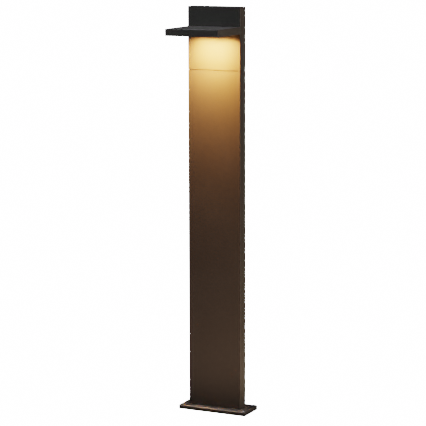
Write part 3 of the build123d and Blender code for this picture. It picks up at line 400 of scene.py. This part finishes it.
def screw_head(bm, profile, socket_r, socket_depth, place):
    """Adds one head: profile is radius and height pairs from the outer rim up to the lip of the socket."""
    first = bmesh.ops.create_circle(bm, cap_ends=False, segments=RING_SIDES, radius=profile[0][0])["verts"]
    bmesh.ops.translate(bm, vec=(0, 0, profile[0][1]), verts=first)
    bm.edges.ensure_lookup_table()
    ring = list({e for v in first for e in v.link_edges})
    bottom = ring
    made = set(first)
    for (r0, z0), (r1, z1) in zip(profile, profile[1:]):
        ring = ring_step(bm, ring, r1 / r0, z1 - z0)
        made |= {v for e in ring for v in e.verts}
    hexagon = bmesh.ops.create_circle(bm, cap_ends=False, segments=6, radius=socket_r)["verts"]
    bmesh.ops.translate(bm, vec=(0, 0, profile[-1][1] - socket_r * 0.12), verts=hexagon)
    lip = list({e for v in hexagon for e in v.link_edges})
    bmesh.ops.bridge_loops(bm, edges=ring + lip)
    wall = ring_step(bm, lip, 1.0, -socket_depth)
    made |= set(hexagon) | {v for e in wall for v in e.verts}
    bmesh.ops.holes_fill(bm, edges=wall, sides=6)
    bmesh.ops.holes_fill(bm, edges=bottom, sides=RING_SIDES)
    bmesh.ops.transform(bm, matrix=place, verts=list(made))


# %% [markdown]
# One more helper turns a finished bmesh into an object in the scene, with its faces pointing outwards, its
# material and the body it rides on, and hides the CAD node that it stands for.

# %% Finish a piece
SMOOTH_BELOW = 35


def finish_piece(bm, name, material, body, replaced):
    """Makes an object of a bmesh. Edges that turn by less than SMOOTH_BELOW degrees are shaded smooth."""
    bmesh.ops.remove_doubles(bm, verts=bm.verts, dist=1e-6)
    bmesh.ops.recalc_face_normals(bm, faces=bm.faces)
    mesh = bpy.data.meshes.new(name)
    bm.to_mesh(mesh)
    bm.free()
    mesh.materials.append(material)
    mesh.shade_smooth()
    mesh.set_sharp_from_angle(angle=math.radians(SMOOTH_BELOW))
    piece = bpy.data.objects.new(name, mesh)
    bpy.context.scene.collection.objects.link(piece)
    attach(piece, body)
    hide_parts(replaced)
    print(name, "has", len(mesh.polygons), "faces")
    return piece


# %% [markdown]
# ## The four corner screws of the foot
#
# These are button heads, the only bright spots on the foot. The crown is a shallow dome, so each one
# mirrors a softbox somewhere on it. The places come from the box round the CAD screws.

# %% Corner screws
HEAD_R, HEAD_H = 3.7 * MM, 2.14 * MM
screw_low, screw_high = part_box("flange_screws")
seat_z = foot_high.z


def dome_profile(radius, height, rim, socket_r, steps=7):
    """Radius and height pairs of a button head, from under the rim, round the crown, to the socket's lip."""
    crown = height - rim
    ball_r = (radius**2 + crown**2) / (2 * crown)
    start, stop = math.asin(radius / ball_r), math.asin(socket_r / ball_r)
    pairs = [(radius * 0.96, 0.0), (radius, radius * 0.05), (radius, rim)]
    for step in range(1, steps + 1):
        turn_angle = start + (stop - start) * step / steps
        pairs.append((ball_r * math.sin(turn_angle), height - ball_r * (1 - math.cos(turn_angle))))
    return pairs


bm = bmesh.new()
button = dome_profile(HEAD_R, HEAD_H, HEAD_H * 0.3, 1.35 * MM)
for x in (screw_low.x + HEAD_R, screw_high.x - HEAD_R):
    for y in (screw_low.y + HEAD_R, screw_high.y - HEAD_R):
        screw_head(bm, button, 1.16 * MM, 1.2 * MM, Matrix.Translation((x, y, seat_z)))
finish_piece(bm, "corner_screw_heads", steel, "post", "flange_screws")

# %% [markdown]
# ## Flush screws
#
# The screws in the back and under the slab have flat heads that sit almost level with the coat. Each has
# a small chamfer at its rim, so a fine dark ring shows round it. The same head builder takes their
# profile; only the direction differs, so a quaternion turns +Z to the way the head looks.

# %% Flush screws in the back and under the slab
def flush_heads(name, node, radius, points, facing, socket_r):
    """Flat heads at these points. They sink a tenth of a millimetre below the surface they face out of."""
    bm = bmesh.new()
    turned = facing.to_track_quat("Z", "Y").to_matrix().to_4x4()
    sunk = 0.1 * MM
    profile = [
        (radius * 0.55, -radius * 0.5), (radius, -0.25 * MM - sunk), (radius, -0.15 * MM - sunk),
        (radius * 0.97, -sunk), (socket_r * 1.2, -sunk),
    ]
    for point in points:
        screw_head(bm, profile, socket_r, 0.9 * MM, Matrix.Translation(point) @ turned)
    return finish_piece(bm, name, steel, "post", node)


def corners(node, radius, axes):
    """The middles of the screws at the outer corners of a node's box, along two axes."""
    low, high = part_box(node)
    first = (low[axes[0]] + radius, high[axes[0]] - radius)
    second = (low[axes[1]] + radius, high[axes[1]] - radius)
    return [(a, b) for a in first for b in second]


M5_HEAD, M4_HEAD, SMALL_HEAD = 4.608 * MM, 3.648 * MM, 2.304 * MM
back = Vector((0, 1, 0))
tenon_low, tenon_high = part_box("tenon_screws")
tenon_z = (tenon_low.z + tenon_high.z) / 2
tenon_points = [Vector((x, back_y, tenon_z)) for x in (tenon_low.x + M5_HEAD, tenon_high.x - M5_HEAD)]
flush_heads("tenon_screw_heads", "tenon_screws", M5_HEAD, tenon_points, back, 1.45 * MM)
coupler_points = [Vector((x, back_y, z)) for x, z in corners("coupler_screws", M4_HEAD, (0, 2))]
flush_heads("coupler_screw_heads", "coupler_screws", M4_HEAD, coupler_points, back, 1.15 * MM)
bezel_points = [Vector((x, y, slab_low.z)) for x, y in corners("bezel_screws", SMALL_HEAD, (0, 1))]
bezel_middle = sum((p.y for p in bezel_points), 0.0) / len(bezel_points)
bezel_points += [Vector((x, bezel_middle, slab_low.z)) for x in sorted({p.x for p in bezel_points})]
flush_heads("bezel_screw_heads", "bezel_screws", SMALL_HEAD, bezel_points, Vector((0, 0, -1)), 0.72 * MM)

# %% [markdown]
# ## The studio
#
# The object stands on a plain white floor in front of plain white. Dark objects on white lose their shape
# if the white lights them from every side, so the floor and the backdrop are seen by the camera alone, and
# lamps do the lighting. The floor lies half a millimetre under the foot, so the two never fight for the
# same place.

# %% Floor and backdrop
WHITE_STRENGTH = 14.0
FLOOR_R, FLOOR_DROP = 18.0, 0.5 * MM
BACKDROP_R = 22.0


def stage_piece(bm, name):
    """A piece of the studio that the camera sees as plain white, and that lights nothing."""
    mesh = bpy.data.meshes.new(name)
    bm.to_mesh(mesh)
    bm.free()
    white = bpy.data.materials.new(name + "_white")
    white.use_nodes = True
    white.node_tree.nodes.clear()
    lit = add(white.node_tree, "ShaderNodeEmission", Strength=WHITE_STRENGTH, Color=colour("#FFFFFF"))
    add(white.node_tree, "ShaderNodeOutputMaterial", {"Surface": lit.outputs["Emission"]})
    mesh.materials.append(white)
    piece = bpy.data.objects.new(name, mesh)
    bpy.context.scene.collection.objects.link(piece)
    for flag in ("visible_diffuse", "visible_glossy", "visible_transmission", "visible_shadow"):
        setattr(piece, flag, False)


bm = bmesh.new()
bmesh.ops.create_circle(bm, cap_ends=True, segments=96, radius=FLOOR_R)
bmesh.ops.translate(bm, vec=(0, 0, -FLOOR_DROP), verts=bm.verts)
stage_piece(bm, "floor")
bm = bmesh.new()
bmesh.ops.create_uvsphere(bm, u_segments=48, v_segments=24, radius=BACKDROP_R)
stage_piece(bm, "backdrop")
print("floor", 2 * FLOOR_R, "m across")

# %% [markdown]
# ## The studio lamps
#
# A wide softbox above and a smaller, stronger one high on the front left give the dark coat its shape, and
# a tall one on the right picks out the narrow side. Two warm boards lying on the floor throw a little
# light up, as a real floor would. The foot gets a narrow lamp of its own, a snoot, because so little else
# reaches it.

# %% Softboxes and the dim room
def softbox(name, tint, watts, width, depth, position, target, spread=180):
    """An area light of this size in metres, aimed at a point. The spread of its rays is in degrees."""
    light = bpy.data.lights.new(name, "AREA")
    light.shape, light.size, light.size_y = "RECTANGLE", width, depth
    light.energy, light.color = watts, colour(tint)[:3]
    light.spread = math.radians(spread)
    lamp = bpy.data.objects.new(name, light)
    bpy.context.scene.collection.objects.link(lamp)
    lamp.location = position
    lamp.rotation_euler = (Vector(target) - Vector(position)).to_track_quat("-Z", "Y").to_euler()
    lamp.visible_camera = False
    return lamp


softbox("top_softbox", "#E4E6FF", 46, 2.4, 2.4, (0.2, -0.2, 3.4), (0, 0, 0.5))
softbox("key_softbox", "#EFFCFF", 97, 1.2, 1.0, (-1.2, -1.3, 3.0), (0, 0, 0.3))
softbox("side_softbox", "#FFF6E6", 113, 1.6, 2.2, (3.2, 0.6, 1.5), (0, 0, 0.6))
softbox("front_bounce", "#FFD5B5", 2.7, 0.7, 0.7, (0, -0.5, 0.004), (0, -0.5, 1))
softbox("side_bounce", "#FFDEB9", 4.5, 0.7, 0.7, (0.55, 0, 0.004), (0.55, 0, 1))
softbox("foot_snoot", "#FFD9B8", 0.03, 0.12, 0.12, (0.1, -0.5, 1.5), (0.02, -0.02, 0), spread=9)

ROOM_STRENGTH = 0.004
room = bpy.data.worlds.new("room")
room.use_nodes = True
bpy.context.scene.world = room
background = room.node_tree.nodes["Background"]
background.inputs["Color"].default_value = colour("#FFFFFF")
background.inputs["Strength"].default_value = ROOM_STRENGTH
print("the room itself gives", ROOM_STRENGTH)

# %% [markdown]
# ## The wash of light
#
# The pane's own glow is set so that it looks right when seen directly. The light it throws down the post
# is far stronger than a screen can show, so a narrow warm strip level with the slab's underside does that
# work. Tilted towards the face, with its rays kept within a cone, it gives the bright patch under the slab
# and the long fade below it. A lamp this small and bright leaves specks on the foot far below it, so light
# linking keeps it to the post and the slab.

# %% Wash light
WASH_W, WASH_D = 98 * MM, 6 * MM
WASH_TILT, WASH_SPREAD = 30, 102
WASH_TINT = "#FFB366"


def light_only(lamp, *names):
    """Links a lamp to the CAD nodes with these names, so that it lights nothing else."""
    lit = bpy.data.collections.new(lamp.name + "_lit")
    for name in names:
        lit.objects.link(nodes[name])
    lamp.light_linking.receiver_collection = lit


wash_place = Vector((pane_middle.x, pane_middle.y + 6 * MM, slab_low.z + 0.5 * MM))
tilt = math.radians(WASH_TILT)
wash_aim = wash_place + Vector((0, math.sin(tilt), -math.cos(tilt)))
wash = softbox("wash", WASH_TINT, 5.5, WASH_W, WASH_D, wash_place, wash_aim, spread=WASH_SPREAD)
light_only(wash, "column_profile", "head_housing", "seam_gasket", "head_slab", "diffuser_bezel", "diffuser")
print("wash light", round((face_y - wash_place.y) / MM, 1), "mm in front of the face")

# %% [markdown]
# Two weak lamps finish the wash. The first falls from the pane straight onto the foot and lights only
# that, in place of the rays that the strip was kept from sending there. The second sits nearer the face
# than the strip, just under the slab, and looks almost level at it, so that the face is lit right up to
# the slab.

# %% Light on the foot and under the slab
LAMP_DROP = 1 * MM
EDGE_NEARER = 20 * MM
EDGE_AIM = Vector((0, 0.94, -0.34))

foot_glow = softbox(
    "foot_glow", "#FFBE92", 0.4, WASH_W, 20 * MM, (pane_middle.x, pane_middle.y, slab_low.z - LAMP_DROP),
    (pane_middle.x, foot_low.y, foot_high.z), spread=16,
)
light_only(foot_glow, "base_flange")
edge_place = Vector((pane_middle.x, pane_middle.y + EDGE_NEARER, slab_low.z - LAMP_DROP))
softbox("wash_edge", WASH_TINT, 0.03, WASH_W, 4 * MM, edge_place, edge_place + EDGE_AIM)
print("edge light", round((face_y - edge_place.y) / MM, 1), "mm in front of the face")

# %% [markdown]
# ## Exposure and film
#
# The wash runs from a nearly white yellow to deep orange. A film-like curve does that by itself: the
# brightest parts lose colour and the dim parts keep it.

# %% View
view = bpy.context.scene.view_settings
view.view_transform = "Filmic"
view.look = "Medium High Contrast"
